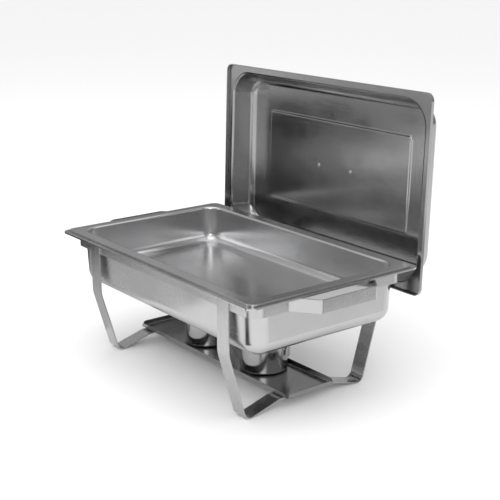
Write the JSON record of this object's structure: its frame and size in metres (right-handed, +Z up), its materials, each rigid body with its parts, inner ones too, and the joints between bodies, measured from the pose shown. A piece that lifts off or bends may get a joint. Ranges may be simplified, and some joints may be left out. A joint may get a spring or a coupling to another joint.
{
  "type": "chafing dish food warmer",
  "caption": "Rectangular chafing dish with nested pans in a strip stand, its lid parked upright behind, and fuel cups with swinging dampers on a tray below.",
  "frame": {"origin": "centre of the whole part's footprint on the table, under the parked lid and the dish together", "axes": "+X along the dish from its left handle to its right handle, +Y from the front to the parked lid, +Z up from the table"},
  "size_m": [0.588, 0.4371, 0.4787],
  "materials": {
    "strip_steel": "drawn along the strip, half bright",
    "pan_steel": "bright satin, deep drawn",
    "food_pan_steel": "soft bright, deep drawn",
    "lid_steel": "polished, a little dull inside",
    "tray_steel": "polished",
    "cup_steel": "spun, polished",
    "rivet_steel": "pressed heads, bright"
  },
  "bodies": {
    "stand": {"frame_band": "strip_steel", "leg_frame_left": "strip_steel", "leg_frame_right": "strip_steel", "lid_hook_left": "strip_steel", "lid_hook_right": "strip_steel"},
    "water_pan": {"water_pan": "pan_steel"},
    "food_pan": {"food_pan": "food_pan_steel"},
    "lid": {"lid_shell": "lid_steel", "lid_handle": "strip_steel", "lid_handle_rivet_left": "rivet_steel", "lid_handle_rivet_right": "rivet_steel"},
    "burner_tray": {"burner_tray": "tray_steel"},
    "fuel_cup_left": {"fuel_cup_left": "cup_steel"},
    "cup_cover_left": {"cup_cover_left": "cup_steel", "damper_pin_left": "rivet_steel"},
    "damper_left": {"damper_left": "cup_steel"},
    "fuel_cup_right": {"fuel_cup_right": "cup_steel"},
    "cup_cover_right": {"cup_cover_right": "cup_steel", "damper_pin_right": "rivet_steel"},
    "damper_right": {"damper_right": "cup_steel"}
  },
  "joints": [
    {"name": "water_pan_lift", "type": "slide", "parent": "stand", "child": "water_pan", "axis": [0, 0, 1], "range_m": [0, 0.12]},
    {"name": "food_pan_lift", "type": "slide", "parent": "water_pan", "child": "food_pan", "axis": [0, 0, 1], "range_m": [0, 0.1]},
    {"name": "lid_lift", "type": "slide", "parent": "stand", "child": "lid", "axis": [0, 0, 1], "range_m": [0, 0.15]},
    {"name": "tray_slide", "type": "slide", "parent": "stand", "child": "burner_tray", "axis": [1, 0, 0], "range_m": [-0.2, 0.2]},
    {"name": "cup_lift_left", "type": "slide", "parent": "burner_tray", "child": "fuel_cup_left", "axis": [0, 0, 1], "range_m": [0, 0.022]},
    {"name": "cover_lift_left", "type": "slide", "parent": "fuel_cup_left", "child": "cup_cover_left", "axis": [0, 0, 1], "range_m": [0, 0.02]},
    {"name": "damper_turn_left", "type": "hinge", "parent": "cup_cover_left", "child": "damper_left", "pos_m": [-0.10499, -0.05919, 0.0688], "axis": [0, 0, 1], "range_deg": [0, 110]},
    {"name": "cup_lift_right", "type": "slide", "parent": "burner_tray", "child": "fuel_cup_right", "axis": [0, 0, 1], "range_m": [0, 0.022]},
    {"name": "cover_lift_right", "type": "slide", "parent": "fuel_cup_right", "child": "cup_cover_right", "axis": [0, 0, 1], "range_m": [0, 0.02]},
    {"name": "damper_turn_right", "type": "hinge", "parent": "cup_cover_right", "child": "damper_right", "pos_m": [0.05501, -0.05919, 0.0688], "axis": [0, 0, 1], "range_deg": [0, 110]}
  ]
}
